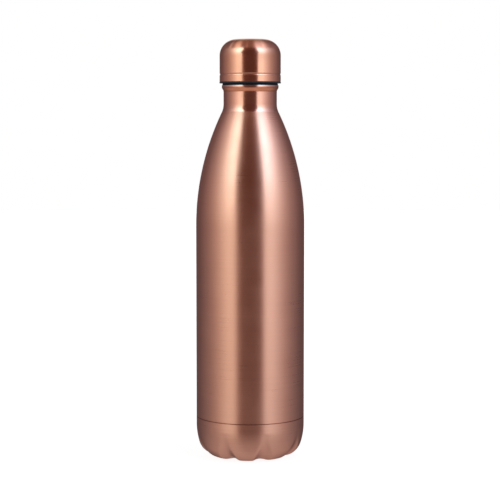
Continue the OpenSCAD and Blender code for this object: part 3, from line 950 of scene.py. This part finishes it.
class BOTTLE_OT_cap_cover(bpy.types.Operator):
    """Polished cover of the lid, with its rolled groove"""

    bl_idname = "bottle.cap_cover"
    bl_label = "Cap cover"

    def execute(self, context):
        finishes = context.scene.bottle_finishes
        outline = cover_outline(context.scene.bottle_lid)
        piece = lathe_piece("polished_cap", *turned(outline, columns=256))
        material = copper_material("polished_copper", finishes, finishes.copper, polished_above=0.0)
        finish_piece(piece, material, "lid", "cap_cover")
        return {"FINISHED"}


class BOTTLE_OT_plug(bpy.types.Operator):
    """Black plug with its flange and screw thread"""

    bl_idname = "bottle.plug"
    bl_label = "Plug"

    def execute(self, context):
        scene = context.scene
        thread = scene.bottle_thread
        core = plug_radius(scene.bottle_liner, thread)
        r, z, t = turned(plug_outline(scene.bottle_lid, core), columns=192)
        on_core = np.abs(r - core) < TOUCHING
        start_z = PLUG_Z + thread.plug_start
        r = r + on_core * thread.depth * ridge(z, t, start_z, thread.plug_turns, thread)
        piece = lathe_piece("threaded_plug", r, z, t)
        material = plastic_material("black_plastic", scene.bottle_finishes.plastic,
                                    rough=0.30, grain_scale=3000, depth=0.01 * MM)
        finish_piece(piece, material, "lid", "plug_body")
        return {"FINISHED"}


class BOTTLE_OT_seal(bpy.types.Operator):
    """Silicone seal between the lip and the plug's flange"""

    bl_idname = "bottle.seal"
    bl_label = "Seal"

    def execute(self, context):
        scene = context.scene
        core = plug_radius(scene.bottle_liner, scene.bottle_thread)
        piece = lathe_piece("silicone_seal", *turned(seal_outline(scene.bottle_lid, core), columns=192))
        material = plastic_material("black_silicone", scene.bottle_finishes.silicone,
                                    rough=0.55, grain_scale=4500, depth=0.02 * MM)
        finish_piece(piece, material, "seal", "seal_ring")
        return {"FINISHED"}


class BOTTLE_OT_shell(bpy.types.Operator):
    """Outer shell, brushed on the body and polished on the neck"""

    bl_idname = "bottle.shell"
    bl_label = "Outer shell"

    def execute(self, context):
        scene = context.scene
        finishes = scene.bottle_finishes
        outline = shell_outline(scene.bottle_shell, scene.bottle_liner)
        piece = lathe_piece("brushed_shell", *turned(outline, columns=256))
        material = copper_material("shell_copper", finishes, finishes.neck_copper, finishes.finish_z)
        finish_piece(piece, material, "bottle", "outer_shell")
        return {"FINISHED"}


class BOTTLE_OT_base(bpy.types.Operator):
    """Base with its ring of pressed feet"""

    bl_idname = "bottle.base"
    bl_label = "Petal base"

    def execute(self, context):
        scene = context.scene
        base, shell, finishes = scene.bottle_base, scene.bottle_shell, scene.bottle_finishes
        outside = joined([[BODY_R - shell.bevel, SEAM_Z], [BODY_R, SEAM_Z - shell.bevel]],
                         base_curve(base, depth=0, steps=24))
        inside = joined([[BODY_R - shell.wall, SEAM_Z]], base_curve(base, shell.wall, steps=16))
        columns = 384
        outer = pressed(base, dense(outside, step=0.6 * MM), columns, depth=0)
        inner = pressed(base, dense(inside, step=1.2 * MM), columns, shell.wall)
        r, z, t = (np.concatenate([a, b[::-1]]) for a, b in zip(outer, inner))
        piece = lathe_piece("petal_base", r, z, t)
        material = copper_material("base_copper", finishes, finishes.neck_copper, finishes.finish_z)
        finish_piece(piece, material, "bottle", "base_cup")
        return {"FINISHED"}


class BOTTLE_OT_liner(bpy.types.Operator):
    """Inner bottle of bare steel, with the thread rolled into its neck"""

    bl_idname = "bottle.liner"
    bl_label = "Inner bottle"

    def execute(self, context):
        scene = context.scene
        shell, liner, thread = scene.bottle_shell, scene.bottle_liner, scene.bottle_thread
        r, z, t = turned(liner_outline(shell, liner), columns=192)
        just_over_half = 0.51
        in_neck = np.abs(r - liner.neck_r + liner.wall / 2) < just_over_half * liner.wall
        start_z = PLUG_Z + thread.plug_start + thread.lead / 2
        r = r - in_neck * thread.depth * ridge(z, t, start_z, thread.mouth_turns, thread)
        piece = lathe_piece("threaded_liner", r, z, t)
        material = steel_material("spun_steel", scene.bottle_finishes)
        finish_piece(piece, material, "bottle", "inner_liner")
        return {"FINISHED"}


class BOTTLE_OT_inner_fittings(bpy.types.Operator):
    """Finishes of the parts that stay hidden inside"""

    bl_idname = "bottle.inner_fittings"
    bl_label = "Inner fittings"

    def execute(self, context):
        finishes = context.scene.bottle_finishes
        steel = steel_material("fitting_steel", finishes)
        materials = {
            "plug_foam": foam_material("plug_foam", finishes),
            "plug_disc": plastic_material("disc_plastic", finishes.plastic,
                                          rough=0.35, grain_scale=3000, depth=0.01 * MM),
            "liner_dish": steel,
            "foil_wrap": foil_material("foil", finishes),
            "vacuum_plate": steel,
            "port_bead": grainy_material("solder_glass", finishes.glass, rough=0.2, metallic=0.0),
            "getter_clip": steel,
            "getter_pill": grainy_material("getter_powder", finishes.getter, rough=0.7, metallic=0.6),
        }
        for name, material in materials.items():
            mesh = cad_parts[name].data
            mesh.materials.clear()
            mesh.materials.append(material)
        return {"FINISHED"}


class BOTTLE_OT_studio(bpy.types.Operator):
    """Floor, light and camera"""

    bl_idname = "bottle.studio"
    bl_label = "Studio"

    def execute(self, context):
        scene = context.scene
        studio = scene.bottle_studio
        floor = floor_piece(studio)
        floor.visible_glossy = False
        scene.collection.objects.link(floor)
        studio_world(studio)
        camera = bpy.data.objects.new("camera", bpy.data.cameras.new("camera"))
        camera.data.lens = studio.lens
        camera.data.shift_x = studio.shift
        camera.location = (0.0, -studio.camera_y, studio.camera_z)
        camera.rotation_euler = (math.pi / 2 - studio.tilt, 0.0, 0.0)
        scene.collection.objects.link(camera)
        scene.camera = camera
        scene.view_settings.view_transform = "Standard"
        return {"FINISHED"}


OPERATORS = (BOTTLE_OT_cap_cover, BOTTLE_OT_plug, BOTTLE_OT_seal, BOTTLE_OT_shell, BOTTLE_OT_base,
             BOTTLE_OT_liner, BOTTLE_OT_inner_fittings, BOTTLE_OT_studio)


class BOTTLE_PT_panel(bpy.types.Panel):
    """Lists the bottle's operators and sizes in the sidebar"""

    bl_label = "Copper water bottle"
    bl_idname = "BOTTLE_PT_panel"
    bl_space_type = "VIEW_3D"
    bl_region_type = "UI"
    bl_category = "Bottle"

    def draw(self, context):
        for operator in OPERATORS:
            self.layout.operator(operator.bl_idname)
        for name, group in PROPERTY_GROUPS.items():
            box = self.layout.box()
            box.label(text=group.__doc__)
            for size in group.__annotations__:
                box.prop(getattr(context.scene, name), size)


CLASSES = (*PROPERTY_GROUPS.values(), *OPERATORS, BOTTLE_PT_panel)


def register():
    """Registers the classes and gives the scene its settings."""
    for cls in CLASSES:
        bpy.utils.register_class(cls)
    for name, group in PROPERTY_GROUPS.items():
        setattr(bpy.types.Scene, name, PointerProperty(type=group))


def unregister():
    """Takes the settings and the classes away again."""
    for name in PROPERTY_GROUPS:
        delattr(bpy.types.Scene, name)
    for cls in reversed(CLASSES):
        bpy.utils.unregister_class(cls)


def main():
    """Builds every piece and the studio."""
    register()
    for operator in OPERATORS:
        group, name = operator.bl_idname.split(".")
        getattr(getattr(bpy.ops, group), name)()


if __name__ == "__main__":
    main()
